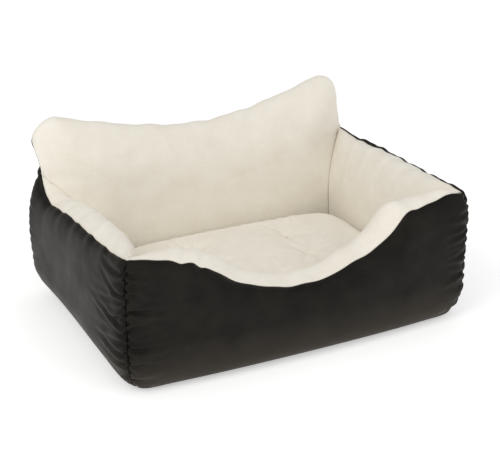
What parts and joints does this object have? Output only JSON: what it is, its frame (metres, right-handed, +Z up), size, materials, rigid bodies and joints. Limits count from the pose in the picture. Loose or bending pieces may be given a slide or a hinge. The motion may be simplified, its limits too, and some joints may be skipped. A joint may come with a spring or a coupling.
{
  "type": "pet cushion bed",
  "caption": "Sofa-style pet bed with stuffed walls, eared high back, scooped front entry and a loose tufted cushion with a zipped cover.",
  "frame": {"origin": "centre of the underside, on the surface the bed rests on", "axes": "+X to the right seen from the front, -Y towards the scooped front, +Z up"},
  "size_m": [0.6, 0.4, 0.3276],
  "materials": {
    "outer_velour": "short silky near-black microfibre velour",
    "cream_plush": "short cream plush pile",
    "fibre_filling": "loose white polyester fibre",
    "floor_wadding": "bonded wadding",
    "base_cloth": "woven non-slip cloth with rubber dots",
    "dark_thread": "matte dark sewing thread",
    "cream_thread": "matte cream sewing thread",
    "zip_tape": "woven zip tape",
    "zip_chain": "satin nylon zip coil",
    "zip_metal": "dark enamelled zip slider"
  },
  "bodies": {
    "bed": {"base_sheet": "base_cloth", "base_pad": "floor_wadding", "floor_lining": "cream_plush", "front_outer_panel": "outer_velour", "left_outer_panel": "outer_velour", "right_outer_panel": "outer_velour", "back_outer_panel": "outer_velour", "front_lining": "cream_plush", "left_lining": "cream_plush", "right_lining": "cream_plush", "back_lining": "cream_plush", "front_filling": "fibre_filling", "left_filling": "fibre_filling", "right_filling": "fibre_filling", "back_filling": "fibre_filling", "corner_seam_threads": "dark_thread", "rim_seam_threads": "cream_thread", "base_seam_thread": "dark_thread"},
    "cushion": {"cushion_top_cover": "cream_plush", "cushion_bottom_cover": "outer_velour", "cushion_filling": "fibre_filling", "cushion_seam_thread": "cream_thread", "tuft_threads": "cream_thread", "zip_tape_upper": "zip_tape", "zip_tape_lower": "zip_tape", "zip_teeth_upper": "zip_chain", "zip_teeth_lower": "zip_chain", "zip_stops": "zip_metal"},
    "zip_slider": {"zip_slider": "zip_metal"}
  },
  "joints": [
    {"name": "cushion_lift", "type": "slide", "parent": "bed", "child": "cushion", "axis": [0, 0, 1], "range_m": [0, 0.35]},
    {"name": "zip_slide", "type": "slide", "parent": "cushion", "child": "zip_slider", "axis": [-1, 0, 0], "range_m": [0, 0.246]}
  ]
}
